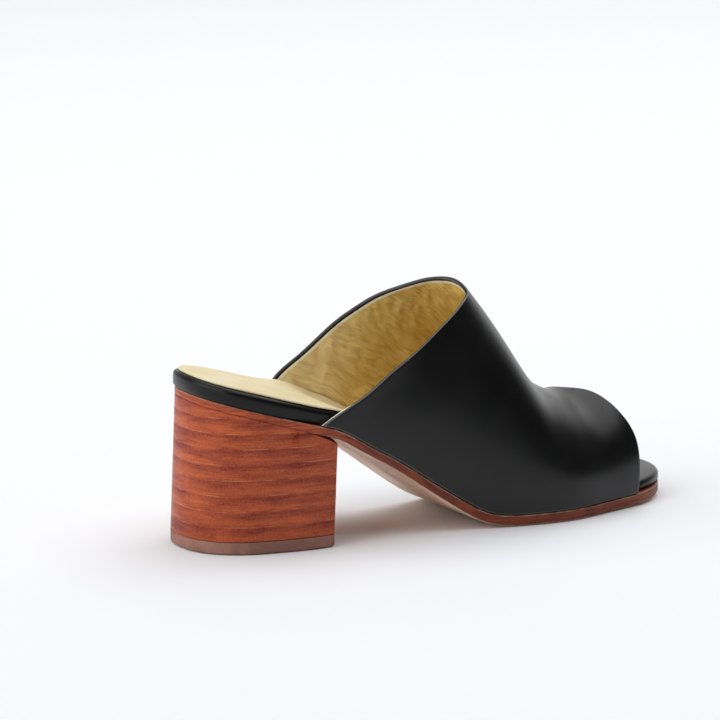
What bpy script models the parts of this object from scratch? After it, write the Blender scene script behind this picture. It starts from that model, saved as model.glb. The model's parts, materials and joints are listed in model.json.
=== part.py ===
"""Peep toe mule, right shoe, size 38: a one-piece vamp on a stacked block heel.

Run with: blender --background --factory-startup --python part.py
Metres, +Z up, +X towards the toe, +Y towards the medial side (the wearer's left).
The origin is on the floor, under the middle of the shoe's box.

The underside of the outsole, seen from the side, is one smooth curve. Every layer of the
bottom lies at a height above it, and the vamp's upright sections stand on the outsole.
"""

from collections import namedtuple
from math import cos, pi, radians, sin

import bmesh
import bpy
import numpy as np

# Driving dimensions, in metres
SOLE_LENGTH = 0.2380            # heel back to toe tip, level
BALL_WIDTH = 0.0784             # the width that the plan's shares are taken of
HEEL_HEIGHT = 0.0625            # floor to the underside of the outsole, at the back
INSTEP_HEIGHT = 0.1035          # floor to the top of the collar
TOE_SPRING = 0.0020             # floor to the underside of the outsole, at the toe tip
SEAT_CANT = 0.0350              # slope of the seat across the foot, the medial side higher

# Thicknesses
OUTSOLE_THICKNESS = 0.0046      # at the ball and toe
INSOLE_HEEL_THICKNESS = 0.0067
INSOLE_TOE_THICKNESS = 0.0043
SOCK_THICKNESS = 0.0009
UPPER_WALL = 0.0020
TOP_PIECE_THICKNESS = 0.0051

# Heel block
HEEL_BREAST = 0.0562            # heel back to the flat front face, at the seat
HEEL_FOOT_LENGTH = 0.0576       # back to front at the floor
HEEL_FOOT_BACK = 0.0024         # how far the foot of the heel reaches out behind the seat
HEEL_FOOT_WIDTH = 0.0610

# Gaps and borders
GAP = 0.0003                    # running gap between pieces that touch
SEAT_OVERHANG = 0.0007          # the insole stands out over the outsole and heel at the seat
SOCK_BORDER = 0.0022            # black border left round the sock lining at the seat
SOCK_SIDE_BORDER = 0.0008       # the same inside the vamp
SOCK_FRONT = 0.2050             # heel back to the front end of the sock lining
EDGE_ROUND = 0.0022             # the insole's wrapped top edge
EDGE_BEVEL = 0.0006             # small bevels on cut leather and rubber edges
EDGE_RUN_OUT = 0.0260           # length over which the outsole's edge draws in past the vamp

# Rounded ends of the outline
HEEL_ROUND = 0.0325             # length over which the outline closes at the back
TOE_ROUND = 0.0410              # and at the toe
HEEL_FULLNESS = 2.29            # 2 is an ellipse, more is squarer
TOE_FULLNESS = 2.28

# Fineness of the mesh
END_STEPS = 11                  # stations in each rounded end
MIDDLE_STEPS = 30               # stations between them
EDGE_STEPS = 4                  # levels round the insole's top edge
HEEL_LEVELS = 6
GIRTH_STEPS = 42                # the vamp, across the foot
VAMP_STEPS = 24                 # the vamp, along the foot
ARC_STEPS = 60                  # points that measure a section's girth
SLOPE_STEP = 0.0005             # run over which the slope of the underside is taken

Profile = namedtuple("Profile", "station height")
SOLE_PROFILE = [                # shares of SOLE_LENGTH and of HEEL_HEIGHT
    Profile(0.00, 1.000),
    Profile(0.08, 0.926),
    Profile(0.16, 0.838),
    Profile(0.24, 0.755),
    Profile(0.30, 0.610),
    Profile(0.36, 0.486),
    Profile(0.42, 0.328),
    Profile(0.48, 0.170),
    Profile(0.54, 0.030),
    Profile(0.59, 0.000),
    Profile(0.74, 0.000),
]
TOE_RISE = [                    # shares of SOLE_LENGTH and of TOE_SPRING
    Profile(0.60, 0.00),
    Profile(0.78, 0.00),
    Profile(0.88, 0.28),
    Profile(1.00, 1.00),
]
CANT_FADE = [                   # shares of SOLE_LENGTH and of SEAT_CANT
    Profile(0.00, 1.00),
    Profile(0.22, 1.00),
    Profile(0.46, 0.00),
    Profile(1.00, 0.00),
]
OUTSOLE_SUBSTANCE = [           # shares of SOLE_LENGTH and of OUTSOLE_THICKNESS
    Profile(0.00, 0.80),
    Profile(0.40, 0.80),
    Profile(0.60, 1.00),
    Profile(1.00, 1.00),
]
INSOLE_TAPER = [                # shares of SOLE_LENGTH and of the way from heel to toe thickness
    Profile(0.00, 0.00),
    Profile(0.20, 0.00),
    Profile(0.80, 1.00),
    Profile(1.00, 1.00),
]

Plan = namedtuple("Plan", "station centre half_width")
INSOLE_PLAN = [                 # shares of SOLE_LENGTH, then of BALL_WIDTH
    Plan(0.00, 0.004, 0.378),
    Plan(0.12, -0.004, 0.392),
    Plan(0.25, -0.005, 0.371),
    Plan(0.40, -0.012, 0.308),
    Plan(0.52, -0.018, 0.355),
    Plan(0.64, -0.003, 0.442),
    Plan(0.72, 0.022, 0.480),
    Plan(0.84, 0.096, 0.440),
    Plan(1.00, 0.108, 0.398),
]

Section = namedtuple("Section", "station ridge shift fullness bulge")
VAMP_SECTIONS = [               # shares of SOLE_LENGTH, INSTEP_HEIGHT, BALL_WIDTH; 2 is an ellipse
    Section(0.20, 1.135, 0.030, 2.29, 0.000),
    Section(0.36, 1.236, 0.034, 2.36, 0.008),
    Section(0.46, 1.124, 0.033, 2.20, 0.011),
    Section(0.54, 1.059, 0.030, 2.00, 0.021),
    Section(0.62, 0.839, 0.062, 1.95, 0.030),
    Section(0.70, 0.549, 0.072, 1.99, 0.035),
    Section(0.78, 0.456, 0.070, 2.04, 0.033),
    Section(0.88, 0.526, 0.096, 2.05, 0.033),
    Section(1.00, 0.289, 0.112, 2.28, 0.003),
]

Opening = namedtuple("Opening", "girth station")
COLLAR_LINE = [                 # share of the girth from the lateral side, share of SOLE_LENGTH
    Opening(0.00, 0.206),
    Opening(0.08, 0.273),
    Opening(0.20, 0.371),
    Opening(0.35, 0.486),
    Opening(0.46, 0.570),
    Opening(0.54, 0.562),
    Opening(0.65, 0.437),
    Opening(0.80, 0.333),
    Opening(0.92, 0.256),
    Opening(1.00, 0.225),
]
PEEP_LINE = [
    Opening(0.00, 0.886),
    Opening(0.20, 0.887),
    Opening(0.40, 0.839),
    Opening(0.50, 0.802),
    Opening(0.60, 0.798),
    Opening(0.80, 0.883),
    Opening(1.00, 0.900),
]

# Widths, in the tables' own units, over which the straight runs between rows are rounded
SIDE_BLEND = 0.09
PLAN_BLEND = 0.16
SECTION_BLEND = 0.10
COLLAR_BLEND = 0.12
PEEP_BLEND = 0.16

Finish = namedtuple("Finish", "name colour roughness")
BLACK_LEATHER = Finish("black_leather", (0.012, 0.012, 0.013, 1.0), 0.38)
CREAM_LEATHER = Finish("cream_leather", (0.80, 0.72, 0.47, 1.0), 0.60)
SOLE_LEATHER = Finish("sole_leather", (0.27, 0.085, 0.040, 1.0), 0.45)
STACKED_LEATHER = Finish("stacked_leather", (0.36, 0.115, 0.045, 1.0), 0.35)
BROWN_RUBBER = Finish("brown_rubber", (0.20, 0.105, 0.085, 1.0), 0.70)


def faired(rows, value, blend):
    """A smooth function through a table: straight runs between its rows, rounded over a width of blend."""
    at = np.array([row[0] for row in rows])
    values = np.array([getattr(row, value) for row in rows])
    taps = 61
    step = blend / (taps - 1)
    grid = np.arange(at[0] - 2 * blend, at[-1] + 2 * blend, step)
    line = np.interp(grid, at, values)
    first_slope = (values[1] - values[0]) / (at[1] - at[0])
    last_slope = (values[-1] - values[-2]) / (at[-1] - at[-2])
    line = np.where(grid < at[0], values[0] + (grid - at[0]) * first_slope, line)
    line = np.where(grid > at[-1], values[-1] + (grid - at[-1]) * last_slope, line)
    window = np.hanning(taps)
    smooth = np.convolve(line, window / window.sum(), mode="same")
    return lambda x: np.interp(x, grid[taps:-taps], smooth[taps:-taps])


sole_drop = faired(SOLE_PROFILE, "height", SIDE_BLEND)
toe_rise = faired(TOE_RISE, "height", SIDE_BLEND)
seat_cant = faired(CANT_FADE, "height", PLAN_BLEND)
outsole_substance = faired(OUTSOLE_SUBSTANCE, "height", PLAN_BLEND)
insole_taper = faired(INSOLE_TAPER, "height", PLAN_BLEND)
plan_centre = faired(INSOLE_PLAN, "centre", PLAN_BLEND)
plan_half_width = faired(INSOLE_PLAN, "half_width", PLAN_BLEND)
ridge_height = faired(VAMP_SECTIONS, "ridge", SECTION_BLEND)
ridge_shift = faired(VAMP_SECTIONS, "shift", SECTION_BLEND)
section_fullness = faired(VAMP_SECTIONS, "fullness", SECTION_BLEND)
section_bulge = faired(VAMP_SECTIONS, "bulge", SECTION_BLEND)
collar_station = faired(COLLAR_LINE, "station", COLLAR_BLEND)
peep_station = faired(PEEP_LINE, "station", PEEP_BLEND)


def underside(x):
    """Height of the outsole's underside along the middle: the curve that all the layers follow."""
    station = x / SOLE_LENGTH
    return sole_drop(station) * HEEL_HEIGHT + toe_rise(station) * TOE_SPRING


def lifted(x, y, height):
    """Points straight above x, y, at a height that is measured square to the underside."""
    slope = (underside(x + SLOPE_STEP) - underside(x - SLOPE_STEP)) / (2 * SLOPE_STEP)
    base = underside(x) + seat_cant(x / SOLE_LENGTH) * SEAT_CANT * y
    return np.stack([x, y, base + height * np.sqrt(1 + slope ** 2)], axis=-1)


def outsole_top(x):
    return outsole_substance(x / SOLE_LENGTH) * OUTSOLE_THICKNESS


def insole_base(x):
    return outsole_top(x) + GAP


def insole_top(x):
    taper = insole_taper(x / SOLE_LENGTH) * (INSOLE_TOE_THICKNESS - INSOLE_HEEL_THICKNESS)
    return insole_base(x) + INSOLE_HEEL_THICKNESS + taper


def end_opening(distance, length, fullness):
    """How far an outline is open at a distance from its rounded end: 0 at the tip, 1 past the rounding."""
    left = 1 - np.clip(distance / length, 0, 1)
    return (1 - left ** fullness) ** (1 / fullness)


def insole_half_width(x):
    back = end_opening(x, HEEL_ROUND, HEEL_FULLNESS)
    front = end_opening(SOLE_LENGTH - x, TOE_ROUND, TOE_FULLNESS)
    return plan_half_width(x / SOLE_LENGTH) * BALL_WIDTH * back * front


def stations():
    """Plan stations from heel back to toe tip, closer together in the rounded ends."""
    quarter = np.arange(END_STEPS) / END_STEPS * pi / 2
    back = HEEL_ROUND * (1 - np.cos(quarter))
    front = SOLE_LENGTH - TOE_ROUND * (1 - np.cos(quarter[::-1]))
    middle = np.linspace(HEEL_ROUND, SOLE_LENGTH - TOE_ROUND, MIDDLE_STEPS + 1)
    return np.concatenate([back, middle, front])


def outline(margin):
    """The insole's plan outline moved outwards by margin(x): the lateral and the medial side, back to front."""
    x = stations()
    half = insole_half_width(x)
    centre = plan_centre(x / SOLE_LENGTH) * BALL_WIDTH
    lateral = np.stack([x, centre - half], axis=1)
    medial = np.stack([x, centre + half], axis=1)
    ring = np.concatenate([lateral, medial[-2:0:-1]])
    along = np.roll(ring, -1, axis=0) - np.roll(ring, 1, axis=0)
    outward = np.stack([along[:, 1], -along[:, 0]], axis=1) / np.linalg.norm(along, axis=1)[:, None]
    ring = ring + outward * margin(ring[:, 0])[:, None]
    tip = len(x) - 1
    return ring[:tip + 1], np.concatenate([ring[:1], ring[:tip - 1:-1]])


def vamp_cover(x):
    """1 where the vamp's wall stands on the outsole, 0 at the bare seat and toe, smooth between."""
    start = min(COLLAR_LINE[0].station, COLLAR_LINE[-1].station) * SOLE_LENGTH
    stop = max(PEEP_LINE[0].station, PEEP_LINE[-1].station) * SOLE_LENGTH
    rise = np.clip((x - start) / EDGE_RUN_OUT + 1, 0, 1)
    fall = np.clip((stop - x) / EDGE_RUN_OUT + 1, 0, 1)
    ramp = np.minimum(rise, fall)
    return ramp * ramp * (3 - 2 * ramp)


def outsole_margin(x):
    return vamp_cover(x) * (GAP + UPPER_WALL + SEAT_OVERHANG) - SEAT_OVERHANG


def sock_margin(x):
    return vamp_cover(x) * (SOCK_BORDER - SOCK_SIDE_BORDER) - SOCK_BORDER


def sheet_level(margin, height):
    """One level of a bottom layer: the outline at margin(x), lifted by height(x)."""
    return [lifted(side[:, 0], side[:, 1], height(side[:, 0])) for side in outline(margin)]


def material(finish):
    made = bpy.data.materials.new(finish.name)
    made.use_nodes = True
    shader = made.node_tree.nodes["Principled BSDF"]
    shader.inputs["Base Color"].default_value = finish.colour
    shader.inputs["Roughness"].default_value = finish.roughness
    shader.inputs["Metallic"].default_value = 0.0
    return made


def finished(name, bm, finish):
    """The bmesh as a named object with its material, facing out and shaded smooth between its edges."""
    bmesh.ops.remove_doubles(bm, verts=bm.verts, dist=1e-6)
    bmesh.ops.recalc_face_normals(bm, faces=bm.faces)
    mesh = bpy.data.meshes.new(name)
    bm.to_mesh(mesh)
    bm.free()
    mesh.shade_smooth()
    mesh.set_sharp_from_angle(angle=radians(40))
    mesh.materials.append(material(finish))
    made = bpy.data.objects.new(name, mesh)
    bpy.context.scene.collection.objects.link(made)
    return made


def layered_solid(name, levels, finish):
    """A solid from levels, bottom to top, each a lateral and a medial row of points, closed straight across."""
    bm = bmesh.new()
    rings = [[bm.verts.new(point) for point in [*lateral, *medial[::-1]]] for lateral, medial in levels]
    count = len(rings[0])
    for lower, upper in zip(rings, rings[1:]):
        for i in range(count):
            j = (i + 1) % count
            bm.faces.new((lower[i], lower[j], upper[j], upper[i]))
    for ring in (rings[0], rings[-1]):
        for i in range(count // 2 - 1):
            bm.faces.new((ring[i], ring[i + 1], ring[count - 2 - i], ring[count - 1 - i]))
    return finished(name, bm, finish)


def make_outsole():
    """The leather outsole, with a bevelled bottom edge, thinner at the seat and waist than at the ball."""
    def level(inset, height):
        return sheet_level(lambda x: outsole_margin(x) - inset, height)

    levels = [
        level(EDGE_BEVEL * 1.6, lambda x: 0 * x),
        level(EDGE_BEVEL * 0.4, lambda x: 0 * x + EDGE_BEVEL * 0.5),
        level(0.0, lambda x: 0 * x + EDGE_BEVEL * 1.6),
        level(0.0, lambda x: outsole_top(x) - EDGE_BEVEL * 0.5),
        level(EDGE_BEVEL * 0.5, outsole_top),
    ]
    return layered_solid("outsole", levels, SOLE_LEATHER)


def make_insole():
    """The footbed board in its leather wrapping, with a soft rounded top edge."""
    levels = [
        sheet_level(lambda x: 0 * x - EDGE_BEVEL, insole_base),
        sheet_level(lambda x: 0 * x, lambda x: insole_base(x) + EDGE_BEVEL),
    ]
    for turn in np.linspace(0, pi / 2, EDGE_STEPS + 1):
        inset = EDGE_ROUND * (1 - cos(turn))
        below = EDGE_ROUND * (1 - sin(turn))
        levels.append(sheet_level(lambda x: 0 * x - inset, lambda x: insole_top(x) - below))
    return layered_solid("insole", levels, BLACK_LEATHER)


def make_sock_lining():
    """The thin leather sock on the footbed, cut straight across behind the peep toe."""
    levels = []
    for inset, rise in ((0.0, 0.0), (0.0, 0.6), (0.5, 1.0)):
        rows = []
        for side in outline(lambda x: sock_margin(x) - inset * SOCK_THICKNESS):
            side = side[side[:, 0] < SOCK_FRONT]
            rows.append(lifted(side[:, 0], side[:, 1], insole_top(side[:, 0]) + GAP + rise * SOCK_THICKNESS))
        levels.append(rows)
    return layered_solid("sock_lining", levels, CREAM_LEATHER)


def heel_outlines():
    """For the lateral and the medial side, the heel's edge at the seat and at the floor, back to breast."""
    pairs = []
    for side in outline(outsole_margin):
        behind = side[side[:, 0] < HEEL_BREAST - SLOPE_STEP]
        breast_y = np.interp(HEEL_BREAST, side[:, 0], side[:, 1])
        seat = np.concatenate([behind, [[HEEL_BREAST, breast_y]]])
        back = seat[0, 0]
        share = (seat[:, 0] - back) / (HEEL_BREAST - back)
        foot_x = back - HEEL_FOOT_BACK + share * HEEL_FOOT_LENGTH
        foot_y = seat[:, 1] / np.abs(seat[:, 1]).max() * HEEL_FOOT_WIDTH / 2
        pairs.append((seat, np.stack([foot_x, foot_y], axis=1)))
    return pairs


def make_heel():
    """The stacked heel block: its top follows the underside of the outsole, and its breast is flat."""
    levels = []
    for share in np.linspace(0, 1, HEEL_LEVELS + 1):
        rows = []
        for seat, foot in heel_outlines():
            top = lifted(seat[:, 0], seat[:, 1], -GAP)
            bottom = np.column_stack([foot, np.full(len(foot), TOP_PIECE_THICKNESS + GAP)])
            rows.append(bottom + (top - bottom) * share)
        levels.append(rows)
    return layered_solid("heel", levels, STACKED_LEATHER)


def make_top_piece():
    """The rubber top piece under the heel, flat on the floor with a bevelled edge."""
    levels = []
    for inset, height in ((EDGE_BEVEL, 0.0), (0.0, EDGE_BEVEL), (0.0, TOP_PIECE_THICKNESS)):
        rows = []
        for _, foot in heel_outlines():
            middle = np.array([foot[:, 0].mean(), 0.0])
            shrunk = middle + (foot - middle) * (1 - inset / (HEEL_FOOT_WIDTH / 2))
            rows.append(np.column_stack([shrunk, np.full(len(foot), height)]))
        levels.append(rows)
    return layered_solid("top_piece", levels, BROWN_RUBBER)


def section_curve(x, lateral, medial):
    """The vamp's outer section at x, as (y, z) from the lateral foot over the ridge to the medial foot."""
    station = x / SOLE_LENGTH
    turn = np.linspace(0, pi / 2, ARC_STEPS)
    out = np.cos(turn) ** (2 / section_fullness(station))
    up = np.sin(turn) ** (2 / section_fullness(station))
    swell = section_bulge(station) * BALL_WIDTH * np.sin(pi * np.minimum(up / 0.9, 1.0))
    ridge_y = ridge_shift(station) * BALL_WIDTH
    ridge_z = ridge_height(station) * INSTEP_HEIGHT
    halves = []
    for edge, outward in ((lateral, -1), (medial, 1)):
        foot_y = np.interp(x, edge[:, 0], edge[:, 1])
        foot_z = np.interp(x, edge[:, 0], edge[:, 2])
        y = ridge_y + (foot_y - ridge_y) * out + outward * swell
        halves.append(np.stack([y, foot_z + (ridge_z - foot_z) * up], axis=1))
    return np.concatenate([halves[0], halves[1][-2::-1]])


def vamp_outer_face():
    """The vamp's outer face: rows from collar to peep edge, columns from the lateral to the medial foot."""
    lateral, medial = sheet_level(outsole_margin, insole_base)
    grid = np.zeros((VAMP_STEPS + 1, GIRTH_STEPS + 1, 3))
    for j in range(GIRTH_STEPS + 1):
        girth = j / GIRTH_STEPS
        for i, share in enumerate(np.linspace(0, 1, VAMP_STEPS + 1)):
            x = SOLE_LENGTH * (collar_station(girth) * (1 - share) + peep_station(girth) * share)
            curve = section_curve(x, lateral, medial)
            steps = np.linalg.norm(np.diff(curve, axis=0), axis=1)
            length = np.concatenate([[0], np.cumsum(steps)])
            y = np.interp(girth * length[-1], length, curve[:, 0])
            z = np.interp(girth * length[-1], length, curve[:, 1])
            grid[i, j] = (x, y, z)
    return grid


def vamp_inner_face(outer):
    """The outer face set inwards by the wall, its feet put back on the outsole."""
    normal = np.cross(np.gradient(outer, axis=0), np.gradient(outer, axis=1))
    inner = outer - normal / np.linalg.norm(normal, axis=2)[:, :, None] * UPPER_WALL
    for column, edge in zip((0, -1), sheet_level(lambda x: outsole_margin(x) - UPPER_WALL, insole_base)):
        for axis in (1, 2):
            inner[:, column, axis] = np.interp(inner[:, column, 0], edge[:, 0], edge[:, axis])
    return inner


def make_upper():
    """The one-piece vamp: a hollow shell, open at the collar, at the peep toe and underneath."""
    outer = vamp_outer_face()
    bm = bmesh.new()
    rings = []
    for outer_row, inner_row in zip(outer, vamp_inner_face(outer)):
        rings.append([bm.verts.new(point) for point in [*outer_row, *inner_row[::-1]]])
    count = len(rings[0])
    for ring, following in zip(rings, rings[1:]):
        for i in range(count):
            j = (i + 1) % count
            bm.faces.new((ring[i], following[i], following[j], ring[j]))
    for ring in (rings[0], rings[-1]):
        for i in range(count // 2 - 1):
            bm.faces.new((ring[i], ring[i + 1], ring[count - 2 - i], ring[count - 1 - i]))
    return finished("upper", bm, BLACK_LEATHER)


def centre_on_floor(objects):
    """Moves the shoe so that the origin is on the floor, under the middle of its box."""
    points = np.array([vertex.co for made in objects for vertex in made.data.vertices])
    middle = (points.min(axis=0) + points.max(axis=0)) / 2
    for made in objects:
        made.location = (-middle[0], -middle[1], 0.0)


def main():
    for old in list(bpy.data.objects):
        bpy.data.objects.remove(old)
    objects = [
        make_outsole(),
        make_insole(),
        make_sock_lining(),
        make_heel(),
        make_top_piece(),
        make_upper(),
    ]
    centre_on_floor(objects)


main()
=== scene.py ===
"""The finished looks of a peep toe mule, laid out as an add-on and run as a script.

Every piece is made in metres in the shoe's own frame: +X to the toe, +Y to the medial side,
+Z up, the origin on the floor under the middle of the shoe.
"""

import json
from collections import namedtuple
from math import cos, pi, radians, sin

import bmesh
import bpy
import numpy as np
from mathutils import Matrix, Vector, noise

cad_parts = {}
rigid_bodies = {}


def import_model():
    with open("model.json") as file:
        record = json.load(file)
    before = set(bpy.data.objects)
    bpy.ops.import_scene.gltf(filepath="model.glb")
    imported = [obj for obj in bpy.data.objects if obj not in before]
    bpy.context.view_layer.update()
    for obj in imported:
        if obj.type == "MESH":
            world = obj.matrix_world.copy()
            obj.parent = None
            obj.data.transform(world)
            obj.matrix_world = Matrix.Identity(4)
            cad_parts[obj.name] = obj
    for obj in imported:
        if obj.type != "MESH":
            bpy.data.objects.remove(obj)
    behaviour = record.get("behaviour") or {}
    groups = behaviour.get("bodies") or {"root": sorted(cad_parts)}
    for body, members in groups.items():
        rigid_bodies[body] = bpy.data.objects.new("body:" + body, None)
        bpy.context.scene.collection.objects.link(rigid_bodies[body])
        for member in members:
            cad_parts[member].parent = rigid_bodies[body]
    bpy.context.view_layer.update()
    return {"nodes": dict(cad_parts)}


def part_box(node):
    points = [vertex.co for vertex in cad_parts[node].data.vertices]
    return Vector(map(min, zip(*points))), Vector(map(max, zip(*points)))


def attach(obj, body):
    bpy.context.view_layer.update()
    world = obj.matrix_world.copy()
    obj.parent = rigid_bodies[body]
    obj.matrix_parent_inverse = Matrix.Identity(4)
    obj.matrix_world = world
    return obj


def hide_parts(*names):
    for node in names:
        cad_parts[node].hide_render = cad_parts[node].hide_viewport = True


bl_info = {
    "name": "Peep Toe Mule",
    "version": (1, 0, 0),
    "blender": (4, 5, 0),
    "location": "View3D > Sidebar > Mule",
    "description": "Builds the leather, lining and heel of a peep toe mule around its solids",
    "category": "Add Mesh",
}

for old in list(bpy.data.objects):
    bpy.data.objects.remove(old)

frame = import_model()

MERGE = 2e-6                    # vertices of a solid nearer than this are one
SHARP = radians(40)

# Camera that matches the photograph, in the shoe's frame
VIEW_AZIMUTH = radians(-29.989)
VIEW_ELEVATION = radians(11.0155)
VIEW_ROLL = radians(0.387)
VIEW_DISTANCE = 1.9
VIEW_TARGET = Vector((0.03563, 0.11618, 0.045))
VIEW_LENS_MM = 206.7


# Sizes and colours that a user may change

def length(name, description, default):
    return bpy.props.FloatProperty(
        name=name, description=description, default=default, min=0.0, subtype="DISTANCE", unit="LENGTH", precision=5)


def colour(name, description, default):
    return bpy.props.FloatVectorProperty(
        name=name, description=description, default=default, size=3, min=0.0, max=1.0, subtype="COLOR")


class MuleSizes(bpy.types.PropertyGroup):
    """Sizes of the upper's layers and of the small relief on each piece."""
    leather: length("Leather", "Thickness of the outer leather under the lining", 0.00130)
    edge: length("Folded edge", "Thickness of the leather where its edge is folded in", 0.00175)
    fold: length("Fold depth", "How far the folded edge reaches down inside the vamp", 0.0017)
    wall: length("Wall", "Thickness of leather and lining together", 0.0020)
    edge_round: length("Edge rounding", "Radius of the folded edge", 0.00055)
    raw_edge: length("Raw edge", "Width of the lining's pale cut edge", 0.00110)
    seam_gap: length("Seam gap", "How far the heel's seam gapes at the breast", 0.0015)
    lining_fold: length("Lining folds", "Height of the fine folds in the lining", 0.00080)
    sock_dish: length("Sock dish", "How far the sock lining's medial edge rises inside the vamp", 0.0065)
    lift: length("Lift", "Thickness of one leather layer of the heel", 0.0066)


class MuleColours(bpy.types.PropertyGroup):
    """Colours of the finishes."""
    black: colour("Black", "Black calf leather", (0.0040, 0.0040, 0.0045))
    lining: colour("Lining", "Golden lining leather", (0.93, 0.70, 0.26))
    raw: colour("Raw edge", "Cut edge of the lining", (1.0, 0.93, 0.68))
    sock: colour("Sock", "Cream sock leather", (0.80, 0.70, 0.45))
    lift_light: colour("Lift, light", "Lighter part of the stacked leather", (0.56, 0.112, 0.031))
    lift_dark: colour("Lift, dark", "Burnt part of the stacked leather", (0.19, 0.018, 0.009))
    lift_line: colour("Lift, line", "Pale line between two lifts", (0.62, 0.21, 0.09))
    sole_edge: colour("Sole edge", "Stained edge of the outsole", (0.205, 0.038, 0.014))
    underside: colour("Underside", "Natural leather under the outsole", (0.95, 0.66, 0.48))
    rubber: colour("Rubber", "Top piece of the heel", (0.36, 0.175, 0.130))
    floor: colour("Floor", "Pale floor", (0.87, 0.88, 0.905))


# Shader node groups and materials

class Graph:
    """Adds nodes to a tree. A socket that is given another node's output is linked to it."""

    def __init__(self, tree):
        self.tree = tree

    def add(self, kind, sockets=None, **settings):
        node = self.tree.nodes.new(kind)
        for name, value in settings.items():
            setattr(node, name, value)
        for key, value in (sockets or {}).items():
            if isinstance(value, bpy.types.NodeSocket):
                self.tree.links.new(value, node.inputs[key])
            else:
                node.inputs[key].default_value = value
        return node

    def math(self, operation, *values, clamp=False):
        sockets = dict(enumerate(values))
        return self.add("ShaderNodeMath", sockets, operation=operation, use_clamp=clamp).outputs[0]

    def mix(self, factor, a, b):
        a, b = ((*side, 1.0) if isinstance(side, tuple) else side for side in (a, b))
        sockets = {0: factor, 6: a, 7: b}
        return self.add("ShaderNodeMix", sockets, data_type="RGBA").outputs[2]

    def ramp(self, value, low, high, to_low=0.0, to_high=1.0):
        """value from low..high to to_low..to_high, held at both ends and smooth between."""
        sockets = {"Value": value, "From Min": low, "From Max": high, "To Min": to_low, "To Max": to_high}
        return self.add("ShaderNodeMapRange", sockets, interpolation_type="SMOOTHSTEP").outputs[0]

    def noise(self, vector, size, detail=2.0, roughness=0.5, stretch=(1.0, 1.0, 1.0)):
        """Noise with features of about this size in metres, longer where stretch is over 1."""
        scale = tuple(1.0 / (size * side) for side in stretch)
        mapped = self.add("ShaderNodeMapping", {"Vector": vector, "Scale": scale}).outputs[0]
        sockets = {"Vector": mapped, "Scale": 1.0, "Detail": detail, "Roughness": roughness}
        return self.add("ShaderNodeTexNoise", sockets).outputs["Fac"]

    def bump(self, height, distance, strength=1.0, normal=None):
        sockets = {"Height": height, "Distance": distance, "Strength": strength}
        if normal is not None:
            sockets["Normal"] = normal
        return self.add("ShaderNodeBump", sockets).outputs[0]


def new_group(name, inputs, outputs):
    """An empty node group with a vector input, named float inputs and float outputs."""
    tree = bpy.data.node_groups.new(name, "ShaderNodeTree")
    tree.interface.new_socket("Vector", in_out="INPUT", socket_type="NodeSocketVector")
    for socket in inputs:
        tree.interface.new_socket(socket, in_out="INPUT", socket_type="NodeSocketFloat")
    for socket in outputs:
        tree.interface.new_socket(socket, in_out="OUTPUT", socket_type="NodeSocketFloat")
    graph = Graph(tree)
    return tree, graph, graph.add("NodeGroupInput").outputs, graph.add("NodeGroupOutput").inputs


def leather_grain():
    """Leather's pores and fine creases as a height, and its cloudy unevenness as a mask."""
    name = "Leather Grain"
    if name in bpy.data.node_groups:
        return bpy.data.node_groups[name]
    tree, graph, given, result = new_group(name, ("Pore Size", "Crease Share"), ("Height", "Clouds"))
    scale = graph.math("DIVIDE", 1.0, given["Pore Size"])
    warp = graph.noise(given["Vector"], 0.004, 2.0)
    moved = graph.add("ShaderNodeVectorMath", {0: given["Vector"], 3: 1.0}, operation="SCALE").outputs[0]
    shift = graph.math("MULTIPLY", warp, 0.0006)
    moved = graph.add("ShaderNodeVectorMath", {0: moved, 1: shift}, operation="ADD").outputs[0]
    cells = graph.add("ShaderNodeTexVoronoi", {"Vector": moved, "Scale": scale}, feature="DISTANCE_TO_EDGE")
    pores = graph.ramp(cells.outputs["Distance"], 0.0, 0.25)
    fine = graph.noise(given["Vector"], 0.0011, 3.0, 0.6)
    creases = graph.math("MULTIPLY", graph.ramp(fine, 0.35, 0.65), given["Crease Share"])
    graph.tree.links.new(graph.math("ADD", pores, creases), result["Height"])
    clouds = graph.noise(given["Vector"], 0.017, 3.0, 0.55)
    graph.tree.links.new(graph.ramp(clouds, 0.3, 0.7), result["Clouds"])
    return tree


def handling_marks():
    """Faint rubbed patches and hairline scuffs from handling, as masks."""
    name = "Handling Marks"
    if name in bpy.data.node_groups:
        return bpy.data.node_groups[name]
    tree, graph, given, result = new_group(name, ("Amount",), ("Rubbed", "Scuffs"))
    patches = graph.noise(given["Vector"], 0.022, 3.0, 0.6)
    rubbed = graph.math("MULTIPLY", graph.ramp(patches, 0.48, 0.72), given["Amount"])
    graph.tree.links.new(rubbed, result["Rubbed"])
    lines = graph.noise(given["Vector"], 0.0009, 1.0, 0.5, stretch=(14.0, 3.0, 1.0))
    near = graph.noise(given["Vector"], 0.012, 1.0)
    scuffs = graph.math("MULTIPLY", graph.ramp(lines, 0.70, 0.78), graph.ramp(near, 0.52, 0.66))
    graph.tree.links.new(graph.math("MULTIPLY", scuffs, given["Amount"]), result["Scuffs"])
    return tree


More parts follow.
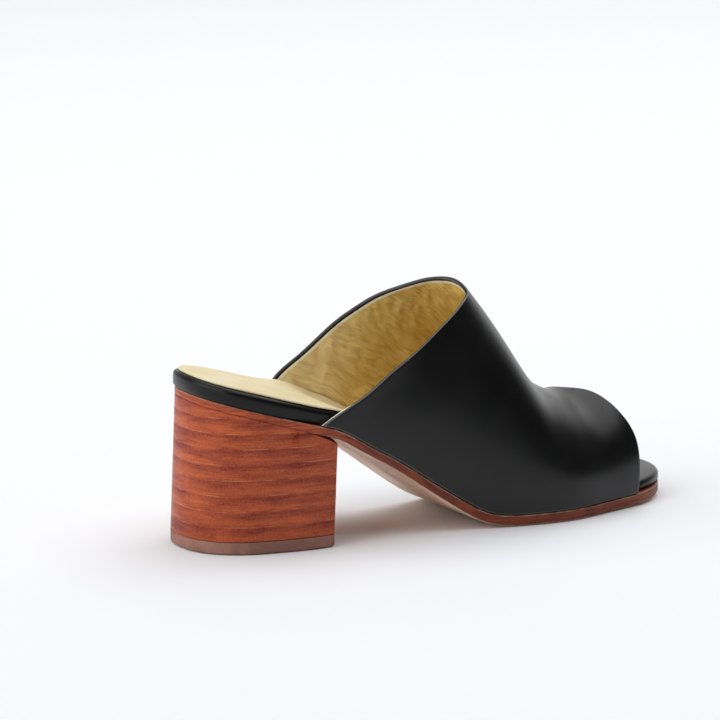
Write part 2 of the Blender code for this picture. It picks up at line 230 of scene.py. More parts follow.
def stacked_layers():
    """Leather lifts glued one on the other: their tone, the pale line between two, and their relief."""
    name = "Stacked Layers"
    if name in bpy.data.node_groups:
        return bpy.data.node_groups[name]
    tree, graph, given, result = new_group(name, ("Lift",), ("Tone", "Line", "Height"))
    sway = graph.noise(given["Vector"], 0.050, 1.0)
    height = graph.add("ShaderNodeSeparateXYZ", {0: given["Vector"]}).outputs[2]
    swayed = graph.math("ADD", height, graph.math("MULTIPLY", graph.math("SUBTRACT", sway, 0.5), 0.0012))
    share = graph.math("FRACT", graph.math("DIVIDE", swayed, given["Lift"]))
    to_joint = graph.math("ABSOLUTE", graph.math("SUBTRACT", share, 0.5))
    broken = graph.noise(given["Vector"], 0.007, 2.0, 0.6, stretch=(1.6, 1.6, 0.25))
    line = graph.math("MULTIPLY", graph.ramp(to_joint, 0.45, 0.495), graph.ramp(broken, 0.44, 0.66))
    graph.tree.links.new(line, result["Line"])
    blotch = graph.noise(given["Vector"], 0.0075, 3.0, 0.60, stretch=(2.4, 2.4, 0.45))
    hair = graph.noise(given["Vector"], 0.0040, 2.0, 0.60, stretch=(3.4, 3.4, 0.16))
    speck = graph.noise(given["Vector"], 0.00085, 2.0, 0.7)
    shade = graph.math("MULTIPLY", graph.math("SUBTRACT", 0.5, share), graph.ramp(to_joint, 0.34, 0.5, 0.55, 0.05))
    tone = graph.math("ADD", graph.math("MULTIPLY", graph.math("SUBTRACT", blotch, 0.5), 1.5), shade)
    tone = graph.math("ADD", tone, graph.math("MULTIPLY", graph.math("SUBTRACT", hair, 0.5), 0.8))
    tone = graph.math("ADD", tone, graph.math("MULTIPLY", graph.math("SUBTRACT", speck, 0.5), 1.0))
    graph.tree.links.new(graph.math("ADD", tone, 0.5, clamp=True), result["Tone"])
    relief = graph.math("SUBTRACT", graph.math("MULTIPLY", hair, 0.5), graph.ramp(to_joint, 0.47, 0.5))
    graph.tree.links.new(relief, result["Height"])
    return tree


def finish(name, roughness=0.5, coat=0.0, coat_roughness=0.3, specular=0.5):
    """A named material: its graph, its shader and the piece's own coordinates."""
    made = bpy.data.materials.new(name)
    made.use_nodes = True
    graph = Graph(made.node_tree)
    shader = made.node_tree.nodes["Principled BSDF"]
    shader.inputs["Roughness"].default_value = roughness
    shader.inputs["Coat Weight"].default_value = coat
    shader.inputs["Coat Roughness"].default_value = coat_roughness
    shader.inputs["Specular IOR Level"].default_value = specular
    where = graph.add("ShaderNodeTexCoord").outputs["Object"]
    return made, graph, shader.inputs, where


def grouped(graph, group, where, sockets):
    """A group node with its values set and its outputs returned."""
    node = graph.add("ShaderNodeGroup", node_tree=group)
    graph.tree.links.new(where, node.inputs["Vector"])
    for key, value in sockets.items():
        node.inputs[key].default_value = value
    return node.outputs


def black_leather(name, tint, gloss, specular=0.35):
    """Smooth black calf: satin, with pores that only show close up."""
    made, graph, sockets, where = finish(name, specular=specular)
    grain = grouped(graph, leather_grain(), where, {"Pore Size": 0.00042, "Crease Share": 0.7})
    marks = grouped(graph, handling_marks(), where, {"Amount": 0.6})
    lighter = tuple(value * 1.9 + 0.002 for value in tint)
    base = graph.mix(graph.math("MULTIPLY", grain["Clouds"], 0.35), tuple(tint), lighter)
    graph.tree.links.new(base, sockets["Base Color"])
    rough = graph.ramp(grain["Clouds"], 0.0, 1.0, gloss - 0.01, gloss + 0.02)
    rough = graph.math("ADD", rough, graph.math("MULTIPLY", marks["Rubbed"], 0.02))
    graph.tree.links.new(rough, sockets["Roughness"])
    graph.tree.links.new(graph.bump(grain["Height"], 0.000012, 0.5), sockets["Normal"])
    return made


def lining_leather(colours, sizes):
    """Golden lining: matt, finely wrinkled, with a pale raw edge where it was cut."""
    made, graph, sockets, where = finish("lining_leather", specular=0.3)
    grain = grouped(graph, leather_grain(), where, {"Pore Size": 0.00055, "Crease Share": 1.2})
    deeper = tuple(value * share for value, share in zip(colours.lining, (0.82, 0.74, 0.55)))
    base = graph.mix(grain["Clouds"], tuple(colours.lining), deeper)
    streaks = graph.noise(where, 0.0030, 3.0, 0.6, stretch=(3.0, 1.0, 0.8))
    lighter = tuple(min(1.0, value * 1.18) for value in colours.lining)
    base = graph.mix(graph.ramp(streaks, 0.5, 0.8, 0.0, 0.55), base, lighter)
    # Painted light: the lining is mixed paler towards the back, where more light falls into the opening.
    back = graph.ramp(graph.add("ShaderNodeSeparateXYZ", {0: where}).outputs[0], -0.050, -0.014, 0.6, 0.0)
    base = graph.mix(back, base, (1.0, 0.86, 0.55))
    laid = graph.add("ShaderNodeUVMap", uv_map="UVMap").outputs[0]
    bend = graph.math("MULTIPLY", graph.noise(where, 0.020, 1.0), 0.03)
    bent = graph.add("ShaderNodeVectorMath", {0: laid, 1: bend}, operation="ADD").outputs[0]
    folds = graph.noise(bent, 0.0105, 1.5, 0.5, stretch=(1.0, 12.0, 1.0))
    patches = graph.ramp(graph.noise(where, 0.014, 1.0), 0.36, 0.56, 0.3, 1.0)
    # Painted shade: the lining's colour is darkened in the valleys of the folds.
    painted_valley_shade = graph.math("MULTIPLY", graph.ramp(folds, 0.56, 0.36), patches)
    base = graph.mix(graph.math("MULTIPLY", painted_valley_shade, 0.3), base, tuple(v * share for v, share in zip(
        colours.lining, (0.62, 0.52, 0.34))))
    rim = graph.add("ShaderNodeAttribute", attribute_name="from_edge").outputs["Fac"]
    raw = graph.ramp(rim, sizes.raw_edge, sizes.raw_edge * 1.25, 1.0, 0.0)
    graph.tree.links.new(graph.mix(raw, base, tuple(colours.raw)), sockets["Base Color"])
    graph.tree.links.new(graph.ramp(grain["Clouds"], 0.0, 1.0, 0.52, 0.66), sockets["Roughness"])
    normal = graph.bump(graph.math("MULTIPLY", folds, patches), 0.0026, 0.8)
    graph.tree.links.new(graph.bump(grain["Height"], 0.00003, 0.6, normal), sockets["Normal"])
    return made


def sock_leather(colours):
    """Cream sock: smooth pigskin, matt, with fine pores."""
    made, graph, sockets, where = finish("sock_leather", specular=0.35)
    grain = grouped(graph, leather_grain(), where, {"Pore Size": 0.0006, "Crease Share": 0.8})
    warmer = tuple(value * share for value, share in zip(colours.sock, (0.95, 0.90, 0.78)))
    base = graph.mix(grain["Clouds"], tuple(colours.sock), warmer)
    graph.tree.links.new(base, sockets["Base Color"])
    graph.tree.links.new(graph.ramp(grain["Clouds"], 0.0, 1.0, 0.50, 0.62), sockets["Roughness"])
    normal = graph.bump(graph.noise(where, 0.006, 2.0), 0.00025, 0.3)
    graph.tree.links.new(graph.bump(grain["Height"], 0.00003, 0.5, normal), sockets["Normal"])
    return made


def stacked_leather(colours, sizes):
    """Stained and polished stack of lifts, counted up from the top piece."""
    made, graph, sockets, where = finish("stacked_leather", coat=0.06, coat_roughness=0.25, specular=0.25)
    start = (0.0, 0.0, -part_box("top_piece")[1].z)
    counted = graph.add("ShaderNodeMapping", {"Vector": where, "Location": start}).outputs[0]
    layers = grouped(graph, stacked_layers(), counted, {"Lift": sizes.lift})
    marks = grouped(graph, handling_marks(), where, {"Amount": 0.8})
    base = graph.mix(layers["Tone"], tuple(colours.lift_dark), tuple(colours.lift_light))
    base = graph.mix(graph.math("MULTIPLY", layers["Line"], 0.8), base, tuple(colours.lift_line))
    base = graph.mix(graph.math("MULTIPLY", marks["Scuffs"], 0.4), base, (0.06, 0.012, 0.006))
    graph.tree.links.new(base, sockets["Base Color"])
    graph.tree.links.new(graph.ramp(layers["Tone"], 0.0, 1.0, 0.46, 0.36), sockets["Roughness"])
    graph.tree.links.new(graph.bump(layers["Height"], 0.00010, 0.5), sockets["Normal"])
    return made


SHANK_SLOPE = (-0.066, 0.008, 0.0490, 0.0030)   # X where the shank starts and ends, and its height there


def sole_edge_leather(colours):
    """Red-brown stained edge of the sole: lighter over the heel, where it is finished with the stack."""
    made, graph, sockets, where = finish("sole_edge_leather", coat=0.06, coat_roughness=0.3, specular=0.25)
    along, aside, height = graph.add("ShaderNodeSeparateXYZ", {0: where}).outputs
    arch = graph.ramp(along, *SHANK_SLOPE)
    level = graph.math("SUBTRACT", height, arch)
    laid = graph.add("ShaderNodeCombineXYZ", {0: along, 1: aside, 2: level}).outputs[0]
    fibres = graph.noise(laid, 0.0016, 3.0, 0.65, stretch=(9.0, 9.0, 0.5))
    clouds = graph.noise(laid, 0.010, 2.0)
    tone = graph.math("ADD", graph.math("MULTIPLY", fibres, 0.9), graph.math("MULTIPLY", clouds, 0.3))
    tone = graph.ramp(tone, 0.38, 0.82)
    over_heel = graph.ramp(along, -0.075, -0.045, 1.0, 0.0)
    dark = graph.mix(over_heel, tuple(v * 0.5 for v in colours.sole_edge), tuple(colours.lift_dark))
    light = graph.mix(over_heel, tuple(min(1.0, v * 1.4) for v in colours.sole_edge), tuple(colours.lift_light))
    graph.tree.links.new(graph.mix(tone, dark, light), sockets["Base Color"])
    graph.tree.links.new(graph.ramp(fibres, 0.3, 0.7, 0.50, 0.38), sockets["Roughness"])
    graph.tree.links.new(graph.bump(fibres, 0.00010, 0.5), sockets["Normal"])
    return made


def seam_painted_shade(colours):
    """Painted shade in the heel's seam groove: dark brown and blotchy."""
    made, graph, sockets, where = finish("seam_painted_shade", roughness=0.7, specular=0.2)
    shade_blotches = graph.noise(where, 0.0012, 2.0)
    thick, thin = (tuple(v * share for v in colours.lift_dark) for share in (0.30, 0.90))
    graph.tree.links.new(graph.mix(shade_blotches, thick, thin), sockets["Base Color"])
    graph.tree.links.new(graph.bump(shade_blotches, 0.0002, 0.6), sockets["Normal"])
    return made


def painted_seam_shade_mask(graph, where):
    """Mask for the painted seam shade: one where the heel is glued on, nothing in front of its breast."""
    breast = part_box("heel")[1][0]
    along = graph.add("ShaderNodeSeparateXYZ", {0: where}).outputs[0]
    return graph.ramp(along, breast - 0.0010, breast - 0.0002, 1.0, 0.0)


def sole_rim_wear_and_highlight(colours):
    """Corners of the sole's edge: paler where the stain has rubbed thin, and partly a painted highlight along them."""
    made, graph, sockets, where = finish("sole_rim_wear_and_highlight", specular=0.25)
    wear_and_highlight = graph.ramp(graph.noise(where, 0.004, 2.0, 0.6), 0.35, 0.6, 0.25, 1.0)
    # Paler corners: partly worn stain, partly a painted highlight.
    base = graph.mix(wear_and_highlight, tuple(colours.sole_edge), tuple(v * 0.34 for v in colours.underside))
    graph.tree.links.new(base, sockets["Base Color"])
    graph.tree.links.new(graph.ramp(wear_and_highlight, 0.25, 1.0, 0.42, 0.55), sockets["Roughness"])
    return made


def underside_leather(colours):
    """Natural sole leather, buffed, with faint cloudy marks."""
    made, graph, sockets, where = finish("underside_leather", specular=0.4)
    grain = grouped(graph, leather_grain(), where, {"Pore Size": 0.0008, "Crease Share": 0.9})
    marks = grouped(graph, handling_marks(), where, {"Amount": 1.0})
    darker = tuple(value * 0.72 for value in colours.underside)
    base = graph.mix(grain["Clouds"], tuple(colours.underside), darker)
    base = graph.mix(graph.math("MULTIPLY", marks["Scuffs"], 0.6), base, tuple(v * 0.4 for v in colours.underside))
    # Painted shade: the underside is darkened over the heel seat, where it shows through the seam's gap.
    base = graph.mix(painted_seam_shade_mask(graph, where), base, tuple(v * 0.3 for v in colours.lift_dark))
    graph.tree.links.new(base, sockets["Base Color"])
    graph.tree.links.new(graph.ramp(grain["Clouds"], 0.0, 1.0, 0.44, 0.58), sockets["Roughness"])
    graph.tree.links.new(graph.bump(grain["Height"], 0.00005, 0.5), sockets["Normal"])
    return made


def top_rubber(colours):
    """Dull brown rubber with a fine pressed grain."""
    made, graph, sockets, where = finish("top_rubber", specular=0.35)
    speckle = graph.noise(where, 0.0009, 3.0, 0.65)
    clouds = graph.noise(where, 0.009, 2.0)
    darker = tuple(value * 0.7 for value in colours.rubber)
    lighter = tuple(value * 1.25 for value in colours.rubber)
    base = graph.mix(graph.ramp(clouds, 0.35, 0.7), darker, tuple(colours.rubber))
    base = graph.mix(graph.ramp(speckle, 0.5, 0.8, 0.0, 0.6), base, lighter)
    graph.tree.links.new(base, sockets["Base Color"])
    graph.tree.links.new(graph.ramp(speckle, 0.3, 0.7, 0.70, 0.82), sockets["Roughness"])
    graph.tree.links.new(graph.bump(speckle, 0.00012, 0.5), sockets["Normal"])
    return made


# Meshes read from the solids

def merged(node):
    """A copy of a solid's mesh with its vertices merged."""
    bm = bmesh.new()
    bm.from_mesh(frame["nodes"][node].data)
    bmesh.ops.remove_doubles(bm, verts=bm.verts, dist=MERGE)
    return bm


def quads(bm):
    bmesh.ops.join_triangles(
        bm, faces=bm.faces, angle_face_threshold=radians(40), angle_shape_threshold=radians(120))


def sharp(edge):
    return not edge.is_manifold or edge.calc_face_angle() > SHARP


def largest_sheet(bm):
    """Keeps the largest part of the surface that no sharp edge crosses, and deletes the rest."""
    left = set(bm.faces)
    sheets = []
    while left:
        todo = [left.pop()]
        found = []
        while todo:
            face = todo.pop()
            found.append(face)
            for edge in face.edges:
                if sharp(edge):
                    continue
                for other in edge.link_faces:
                    if other in left:
                        left.remove(other)
                        todo.append(other)
        sheets.append(found)
    keep = max(sheets, key=lambda faces: sum(face.calc_area() for face in faces))
    kept = set(keep)
    bmesh.ops.delete(bm, geom=[face for face in bm.faces if face not in kept], context="FACES")


def boundary_walk(start, first):
    """Vertices along the open edge from start through first, up to the next corner."""
    path = [start, first]
    while len(path[-1].link_edges) > 3:
        path.append(next(
            edge.other_vert(path[-1]) for edge in path[-1].link_edges
            if edge.is_boundary and edge.other_vert(path[-1]) is not path[-2]))
    return path


def vamp_rows():
    """The vamp's outer face as rows of points, collar to peep toe, each from the lateral to the medial foot."""
    bm = merged("upper")
    largest_sheet(bm)
    start = min(bm.verts, key=lambda vert: vert.co.x)
    walks = [
        boundary_walk(start, edge.other_vert(start)) for edge in start.link_edges if edge.is_boundary]
    collar, foot = sorted(walks, key=lambda walk: walk[-1].co.x)
    rows = [collar]
    seen = set(collar)
    for first in foot[1:]:
        near = {edge.other_vert(vert) for vert in rows[-1] for edge in vert.link_edges} - seen
        row = [first]
        seen.add(first)
        while len(row) < len(collar):
            row.append(next(
                edge.other_vert(row[-1]) for edge in row[-1].link_edges
                if edge.other_vert(row[-1]) in near and edge.other_vert(row[-1]) not in seen))
            seen.add(row[-1])
        rows.append(row)
    points = np.array([[tuple(vert.co) for vert in row] for row in rows])
    bm.free()
    return points


def through(points, at):
    """Points read at fractional row numbers, on a smooth curve through the rows."""
    before = 2 * points[:1] - points[1:2]
    after = 2 * points[-1:] - points[-2:-1]
    padded = np.concatenate([before, points, after])
    row = np.clip(np.floor(at).astype(int), 0, len(points) - 2)
    t = (at - row).reshape(-1, *[1] * (points.ndim - 1))
    a, b, c, d = (padded[row + step] for step in range(4))
    return 0.5 * (2 * b + (c - a) * t + (2 * a - 5 * b + 4 * c - d) * t ** 2 + (3 * b - a - 3 * c + d) * t ** 3)


Sheet = namedtuple("Sheet", "points normals from_collar from_peep girth")


def collar_drop(girth):
    """How far the collar's line lies past the solid's, at a share of the way over the foot."""
    behind = 0.0020 * float(np.exp(-((girth - 0.215) / 0.09) ** 2))
    return behind + 0.0012 * float(np.exp(-((girth - 0.39) / 0.055) ** 2))


def vamp_sheet(columns, rows, trim, drop):
    """The vamp's face as an even grid, cut back by trim(girth) at both rims and by drop(girth) at the collar."""
    coarse = vamp_rows()
    across = through(coarse.transpose(1, 0, 2), np.linspace(0, coarse.shape[1] - 1, columns))
    fine = through(across.transpose(1, 0, 2), np.linspace(0, coarse.shape[0] - 1, rows * 4))
    points = np.zeros((rows, columns, 3))
    collar = np.zeros((rows, columns))
    peep = np.zeros((rows, columns))
    for column in range(columns):
        line = fine[:, column]
        run = np.concatenate([[0], np.cumsum(np.linalg.norm(np.diff(line, axis=0), axis=1))])
        cut = trim(column / (columns - 1))
        start = cut + drop(column / (columns - 1))
        stops = np.linspace(start, run[-1] - cut, rows)
        for axis in range(3):
            points[:, column, axis] = np.interp(stops, run, line[:, axis])
        collar[:, column] = stops - start
        peep[:, column] = run[-1] - cut - stops
    normals = np.cross(np.gradient(points, axis=1), np.gradient(points, axis=0))
    normals /= np.linalg.norm(normals, axis=2)[:, :, None]
    if normals[0, columns // 2, 2] < 0:
        normals = -normals
    steps = np.linalg.norm(np.diff(points, axis=1), axis=2)
    girth = np.concatenate([np.zeros((rows, 1)), np.cumsum(steps, axis=1)], axis=1)
    return Sheet(points, normals, collar, peep, girth)


def grid_mesh(points):
    """A bmesh grid laid on rows of points, and its vertices in the same rows."""
    rows, columns = points.shape[:2]
    bm = bmesh.new()
    bm.loops.layers.uv.new("UVMap")
    bm.verts.layers.float.new("from_edge")
    made = bmesh.ops.create_grid(
        bm, x_segments=columns - 1, y_segments=rows - 1, size=1.0, calc_uvs=True)["verts"]
    placed = np.empty((rows, columns), dtype=object)
    for vert in made:
        column = round((vert.co.x + 1) / 2 * (columns - 1))
        row = round((vert.co.y + 1) / 2 * (rows - 1))
        placed[row, column] = vert
    for row in range(rows):
        for column in range(columns):
            placed[row, column].co = points[row, column]
    return bm, placed


def piece(name, bm, materials, slot, *nodes):
    """The bmesh as a finished piece that rides on the shoe and stands for its solids."""
    mesh = bpy.data.meshes.new(name)
    bm.to_mesh(mesh)
    bm.free()
    mesh.shade_smooth()
    mesh.set_sharp_from_angle(angle=SHARP)
    for material in materials:
        mesh.materials.append(material)
    made = bpy.data.objects.new(name, mesh)
    bpy.context.scene.collection.objects.link(made)
    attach(made, "root")
    if nodes:
        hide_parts(*nodes)
    return made


def rounded(made, width, segments, angle=50):
    bevel = made.modifiers.new("edge rounding", "BEVEL")
    bevel.width = width
    bevel.segments = segments
    bevel.limit_method = "ANGLE"
    bevel.angle_limit = radians(angle)
    bevel.harden_normals = False
    if "bevel_weight_edge" in made.data.attributes:
        bevel.limit_method = "WEIGHT"
    return bevel


def open_seam(x):
    """How open the seam between heel and outsole is: closed at the back, a crack at the breast."""
    return float(smooth_step(x, -0.080, -0.062))


def weigh_corners(bm, share):
    """Gives each sharp edge its share of the rounding, from its middle and whether it looks up or down."""
    weights = bm.edges.layers.float.new("bevel_weight_edge")
    for edge in bm.edges:
        if sharp(edge):
            middle = (edge.verts[0].co + edge.verts[1].co) / 2
            up = any(face.normal.z > 0.7 for face in edge.link_faces)
            down = any(face.normal.z < -0.7 for face in edge.link_faces)
            edge[weights] = share(middle, up, down)


# Creases pressed into the vamp

Crease = namedtuple("Crease", "x y z towards run width depth")
VAMP_CREASES = [                # middle, direction, half length, half width and depth, in metres; depth < 0 swells
    Crease(0.010, -0.026, 0.052, (0.60, 0.20, -0.70), 0.026, 0.0080, 0.00045),
    Crease(-0.029, -0.030, 0.0705, (0.80, 0.08, 0.58), 0.026, 0.016, 0.0015),
]


def crease_depth(points):
    """How deep the creases press the face in at each point."""
    depth = np.zeros(points.shape[:2])
    for crease in VAMP_CREASES:
        offset = points - np.array([crease.x, crease.y, crease.z])
        towards = np.array(crease.towards) / np.linalg.norm(crease.towards)
        along = offset @ towards
        aside = np.linalg.norm(offset - along[:, :, None] * towards, axis=2)
        depth += crease.depth * np.exp(-(along / crease.run) ** 2 - (aside / crease.width) ** 2)
    return depth


def fold_noise(sheet, across, lengthwise, skew, seed):
    """Stretched noise over a sheet: folds this far apart, this long, that turn by skew."""
    rows, columns = sheet.points.shape[:2]
    value = np.zeros((rows, columns))
    for row in range(rows):
        for column in range(columns):
            girth = sheet.girth[row, column]
            along = sheet.from_collar[row, column]
            place = ((girth + skew * along) / across, along / lengthwise, seed)
            value[row, column] = noise.fractal(Vector(place), 0.8, 2.2, 3)
    return value


def smooth_step(value, low, high):
    share = np.clip((value - low) / (high - low), 0, 1)
    return share * share * (3 - 2 * share)


class MULE_OT_upper(bpy.types.Operator):
    """The vamp's outer leather, with its edges folded in at the collar and the peep toe."""
    bl_idname = "mule.upper"
    bl_label = "Vamp Leather"

    def execute(self, context):
        sizes, colours = context.scene.mule_sizes, context.scene.mule_colours
        sheet = vamp_sheet(127, 81, lambda girth: 0.0, collar_drop)
        points = sheet.points - sheet.normals * crease_depth(sheet.points)[:, :, None]
        bm, placed = grid_mesh(points)
        bmesh.ops.recalc_face_normals(bm, faces=bm.faces)
        edge = np.minimum(sheet.from_collar, sheet.from_peep)
        folded = 1 - smooth_step(edge, sizes.fold, sizes.fold + 0.0006)
        folded *= 0.1 + 0.9 * smooth_step(np.linspace(0, 1, folded.shape[1]), 0.03, 0.16)
        thickness = (sizes.leather + (sizes.edge - sizes.leather) * folded) / sizes.edge
        if placed[0, 63].normal.z < 0:
            bmesh.ops.reverse_faces(bm, faces=bm.faces)
        bm.verts.index_update()
        order = {placed[index].index: thickness[index] for index in np.ndindex(thickness.shape)}
        # The second finish, on the rounded edges, is the calf made lighter: a painted highlight along the rims.
        materials = [
            black_leather("vamp_calf", colours.black, 0.29, 0.34),
            black_leather("folded_edge_calf_painted_highlight", [value + 0.030 for value in colours.black], 0.34, 0.8)]
        made = piece("vamp_leather", bm, materials, "black_leather", "upper")
        group = made.vertex_groups.new(name="thickness")
        for index, weight in order.items():
            group.add([index], float(weight), "REPLACE")
        wall = made.modifiers.new("leather", "SOLIDIFY")
        wall.thickness = sizes.edge
        wall.offset = -1.0
        wall.use_even_offset = False
        wall.vertex_group = group.name
        rounded(made, sizes.edge_round, 3, angle=60).material = 1
        return {"FINISHED"}


class MULE_OT_lining(bpy.types.Operator):
    """The vamp's lining: a finely wrinkled sheet inside the leather, with a pale cut edge."""
    bl_idname = "mule.lining"
    bl_label = "Vamp Lining"

    def execute(self, context):
        sizes, colours = context.scene.mule_sizes, context.scene.mule_colours

        def trim(girth):
            """The folded edge's depth, less at the collar's lateral foot, where the cut edge comes up to it."""
            return float(sizes.fold * (0.05 + 0.95 * smooth_step(girth, 0.03, 0.16)))

        sheet = vamp_sheet(241, 121, trim, collar_drop)
        edge = np.minimum(sheet.from_collar, sheet.from_peep)
        folds = fold_noise(sheet, 0.0030, 0.018, 0.30, 3.0) * sizes.lining_fold
        folds += fold_noise(sheet, 0.0110, 0.036, -0.25, 9.0) * sizes.lining_fold * 1.0
        folds *= smooth_step(edge, 0.0012, 0.006)
        folds = np.maximum(folds, (sizes.leather - sizes.wall) * 0.5)
        creases = crease_depth(sheet.points)
        inner = sheet.points - sheet.normals * (sizes.wall + creases + folds)[:, :, None]
        bm, placed = grid_mesh(inner)
        from_edge = bm.verts.layers.float["from_edge"]
        for index in np.ndindex(edge.shape):
            placed[index][from_edge] = float(edge[index])
        bmesh.ops.recalc_face_normals(bm, faces=bm.faces)
        if placed[0, 120].normal.z > 0:
            bmesh.ops.reverse_faces(bm, faces=bm.faces)
        made = piece("vamp_lining", bm, [lining_leather(colours, sizes)], "cream_leather")
        skin = made.modifiers.new("lining", "SOLIDIFY")
        skin.thickness = sizes.wall - sizes.leather - 0.0001
        skin.offset = -1.0
        rounded(made, 0.00055, 3, angle=60)
        return {"FINISHED"}


class MULE_OT_sock(bpy.types.Operator):
    """The sock lining, dished up a little against the inside of the vamp."""
    bl_idname = "mule.sock"
    bl_label = "Sock Lining"

    def execute(self, context):
        sizes, colours = context.scene.mule_sizes, context.scene.mule_colours
        bm = merged("sock_lining")
        flat = [face for face in bm.faces if face.normal.z ** 2 > 0.5]
        inside = [edge for edge in bm.edges if not sharp(edge) and all(face in flat for face in edge.link_faces)]
        slanted = [edge for edge in inside if abs(edge.verts[0].co.x - edge.verts[1].co.x) > 0.0016]
        bmesh.ops.dissolve_edges(bm, edges=slanted, use_verts=False)
        across = [
            edge for edge in bm.edges
            if not sharp(edge) and abs(edge.verts[0].co.x - edge.verts[1].co.x) < 0.0016 and edge.calc_length() > 0.012]
        bmesh.ops.subdivide_edges(bm, edges=across, cuts=15)
        low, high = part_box("sock_lining")
        rim = np.array([tuple(vert.co) for vert in bm.verts if any(sharp(edge) for edge in vert.link_edges)])
        bounds = np.linspace(low.x, high.x, 25)
        within = [rim[(rim[:, 0] >= start) & (rim[:, 0] <= end), 1] for start, end in zip(bounds, bounds[1:])]
        stations = (bounds[1:] + bounds[:-1]) / 2
        lateral, medial = [sides.min() for sides in within], [sides.max() for sides in within]
        for vert in bm.verts:
            share = (vert.co.x - low.x) / (high.x - low.x)
            rise = float(smooth_step(share, 0.22, 0.42) * (1 - smooth_step(share, 0.85, 0.97)))
            left, right = (float(np.interp(vert.co.x, stations, side)) for side in (lateral, medial))
            aside = min(1.0, max(-1.0, (vert.co.y - left) / (right - left) * 2 - 1))
            edge = sizes.sock_dish if aside > 0 else sizes.sock_dish * 0.2
            vert.co.z += edge * rise * abs(aside) ** 3
        quads(bm)
        made = piece("sock", bm, [sock_leather(colours)], "cream_leather", "sock_lining")
        rounded(made, 0.0002, 2)
        return {"FINISHED"}


class MULE_OT_footbed(bpy.types.Operator):
    """The insole's black leather wrapping, which shows as the rand round the seat and at the toe."""
    bl_idname = "mule.footbed"
    bl_label = "Wrapped Insole"

    def execute(self, context):
        colours = context.scene.mule_colours
        bm = merged("insole")
        quads(bm)
        finish_made = black_leather("footbed_calf", colours.black, 0.30, 0.24)
        piece("footbed_wrap", bm, [finish_made], "insole_leather", "insole")
        return {"FINISHED"}


class MULE_OT_outsole(bpy.types.Operator):
    """The leather outsole: a stained edge and a natural underside."""
    bl_idname = "mule.outsole"
    bl_label = "Outsole"

    def execute(self, context):
        colours = context.scene.mule_colours
        bm = merged("outsole")
        quads(bm)
        bmesh.ops.recalc_face_normals(bm, faces=bm.faces)
        for face in bm.faces:
            face.material_index = 1 if face.normal.z < -0.6 else 0
        weigh_corners(bm, lambda middle, up, down: open_seam(middle.x) if down else 1.0)
        materials = [sole_edge_leather(colours), underside_leather(colours), sole_rim_wear_and_highlight(colours)]
        made = piece("outsole_leather", bm, materials, "sole_leather", "outsole")
        # The rounded corners get the worn stain and painted highlight of the rim finish.
        rounded(made, 0.0003, 2).material = 2
        return {"FINISHED"}


class MULE_OT_heel(bpy.types.Operator):
    """The stacked heel block. Its seam with the outsole is closed at the back and gapes at the breast's outer corner."""
    bl_idname = "mule.heel"
    bl_label = "Stacked Heel"

    def execute(self, context):
        sizes, colours = context.scene.mule_sizes, context.scene.mule_colours
        bm = merged("heel")
        quads(bm)
        seat = [face for face in bm.faces if face.normal.z > 0.7]
        for vert in {vert for face in seat for vert in face.verts}:
            vert.co.z += 0.0007 * (1 - open_seam(vert.co.x))
        groove = bmesh.ops.inset_region(bm, faces=seat, thickness=0.0018, use_even_offset=True)["faces"]
        # The seam groove gets the painted seam shade.
        for face in groove:
            face.material_index = 1
        inner = set(seat) | set(groove)
        for vert in {vert for face in groove for vert in face.verts if set(vert.link_faces) - inner}:
            gape = float(smooth_step(vert.co.x, -0.0735, -0.0615) * smooth_step(-vert.co.y, 0.0, 0.030))
            vert.co.z -= sizes.seam_gap * gape
        bm.normal_update()
        weigh_corners(bm, lambda middle, up, down: 0.0 if down else open_seam(middle.x) if up else 0.6)
        materials = [stacked_leather(colours, sizes), seam_painted_shade(colours)]
        made = piece("heel_stack", bm, materials, "stacked_leather", "heel")
        rounded(made, 0.00045, 2)
        return {"FINISHED"}


class MULE_OT_top_piece(bpy.types.Operator):
    """The rubber top piece under the heel."""
    bl_idname = "mule.top_piece"
    bl_label = "Top Piece"

    def execute(self, context):
        colours = context.scene.mule_colours
        bm = merged("top_piece")
        quads(bm)
        weigh_corners(bm, lambda middle, up, down: 0.0 if up else 1.0)
        made = piece("heel_top_piece", bm, [top_rubber(colours)], "brown_rubber", "top_piece")
        rounded(made, 0.0003, 2)
        return {"FINISHED"}


def softbox(name, place, aim, size, watts, tint=(1.0, 1.0, 1.0)):
    light = bpy.data.lights.new(name, "AREA")
    light.shape = "RECTANGLE"
    light.size, light.size_y = size
    light.energy = watts
    light.color = tint
    made = bpy.data.objects.new(name, light)
    made.location = place
    made.rotation_euler = (Vector(aim) - Vector(place)).to_track_quat("-Z", "Y").to_euler()
    bpy.context.scene.collection.objects.link(made)
    return made


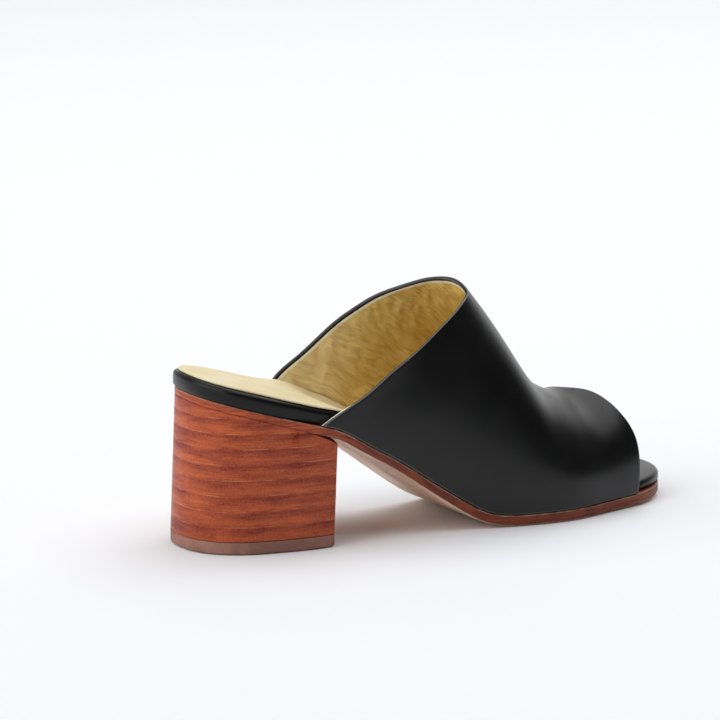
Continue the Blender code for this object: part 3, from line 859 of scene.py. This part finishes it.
class MULE_OT_stage(bpy.types.Operator):
    """A pale floor, soft studio light and the photograph's camera."""
    bl_idname = "mule.stage"
    bl_label = "Studio"

    def execute(self, context):
        scene = context.scene
        bm = bmesh.new()
        bmesh.ops.create_grid(bm, x_segments=1, y_segments=1, size=12.0)
        mesh = bpy.data.meshes.new("floor")
        bm.to_mesh(mesh)
        bm.free()
        floor = bpy.data.objects.new("floor", mesh)
        floor.location = (0.0, 0.0, -0.0003)
        scene.collection.objects.link(floor)
        made, graph, sockets, where = finish("floor_paper", specular=0.2)
        pale = tuple(scene.mule_colours.floor)
        base = graph.mix(graph.noise(where, 0.3, 1.0), pale, tuple(value * 0.995 for value in pale))
        graph.tree.links.new(base, sockets["Base Color"])
        sockets["Roughness"].default_value = 0.9
        mesh.materials.append(made)

        world = bpy.data.worlds.new("studio")
        scene.world = world
        world.use_nodes = True
        world.node_tree.nodes["Background"].inputs[0].default_value = (0.92, 0.95, 1.0, 1.0)
        world.node_tree.nodes["Background"].inputs[1].default_value = 0.04
        softbox("overhead", (0.8, 0.5, 3.2), (0.8, 0.5, 0.0), (4.2, 5.0), 124.0)
        softbox("far_corner", (3.4, 3.6, 2.1), (0.0, 0.0, 2.1), (5.0, 4.2), 66.0)
        softbox("back_wall", (-1.0, 4.5, 1.2), (-1.0, 0.0, 1.2), (4.0, 2.4), 15.0)
        softbox("toe_glow", (1.9, 0.7, 2.5), (0.0, 0.0, 0.0), (1.3, 1.3), 5.5)
        softbox("right_wall", (5.0, 0.75, 0.80), (0.0, 0.75, 0.80), (1.8, 1.6), 4.5)
        softbox("toe_fill", (2.75, 0.75, 2.3), (0.0, 0.0, 0.0), (1.0, 1.6), 2.8)
        softbox("left_wall", (-3.5, 0.3, 2.0), (0.0, 0.3, 0.6), (5.0, 4.0), 130.0)

        camera = bpy.data.cameras.new("camera")
        camera.lens = VIEW_LENS_MM
        camera.sensor_width = 36.0
        camera.clip_end = 50.0
        back = Vector((sin(VIEW_AZIMUTH) * cos(VIEW_ELEVATION),
                       -cos(VIEW_AZIMUTH) * cos(VIEW_ELEVATION), sin(VIEW_ELEVATION)))
        level = Vector((0, 0, 1)).cross(back).normalized()
        upright = back.cross(level)
        right = level * cos(VIEW_ROLL) + upright * sin(VIEW_ROLL)
        up = upright * cos(VIEW_ROLL) - level * sin(VIEW_ROLL)
        eye = VIEW_TARGET + back * VIEW_DISTANCE
        made = bpy.data.objects.new("camera", camera)
        made.matrix_world = Matrix((
            (right.x, up.x, back.x, eye.x),
            (right.y, up.y, back.y, eye.y),
            (right.z, up.z, back.z, eye.z),
            (0.0, 0.0, 0.0, 1.0)))
        scene.collection.objects.link(made)
        scene.camera = made
        scene.view_settings.view_transform = "Standard"
        return {"FINISHED"}


OPERATORS = (
    MULE_OT_upper,
    MULE_OT_lining,
    MULE_OT_sock,
    MULE_OT_footbed,
    MULE_OT_outsole,
    MULE_OT_heel,
    MULE_OT_top_piece,
    MULE_OT_stage,
)


class MULE_PT_sidebar(bpy.types.Panel):
    """Lists the mule's pieces, sizes and colours."""
    bl_idname = "MULE_PT_sidebar"
    bl_label = "Peep Toe Mule"
    bl_space_type = "VIEW_3D"
    bl_region_type = "UI"
    bl_category = "Mule"

    def draw(self, context):
        layout = self.layout
        for group in (context.scene.mule_sizes, context.scene.mule_colours):
            for name in group.__annotations__:
                layout.prop(group, name)
        for operator in OPERATORS:
            layout.operator(operator.bl_idname)


CLASSES = (MuleSizes, MuleColours, *OPERATORS, MULE_PT_sidebar)


def register():
    for cls in CLASSES:
        bpy.utils.register_class(cls)
    bpy.types.Scene.mule_sizes = bpy.props.PointerProperty(type=MuleSizes)
    bpy.types.Scene.mule_colours = bpy.props.PointerProperty(type=MuleColours)


def unregister():
    del bpy.types.Scene.mule_colours
    del bpy.types.Scene.mule_sizes
    for cls in reversed(CLASSES):
        bpy.utils.unregister_class(cls)


def main():
    register()
    bpy.ops.mule.stage()
    bpy.ops.mule.upper()
    bpy.ops.mule.lining()
    bpy.ops.mule.sock()
    bpy.ops.mule.footbed()
    bpy.ops.mule.outsole()
    bpy.ops.mule.heel()
    bpy.ops.mule.top_piece()


if __name__ == "__main__":
    main()
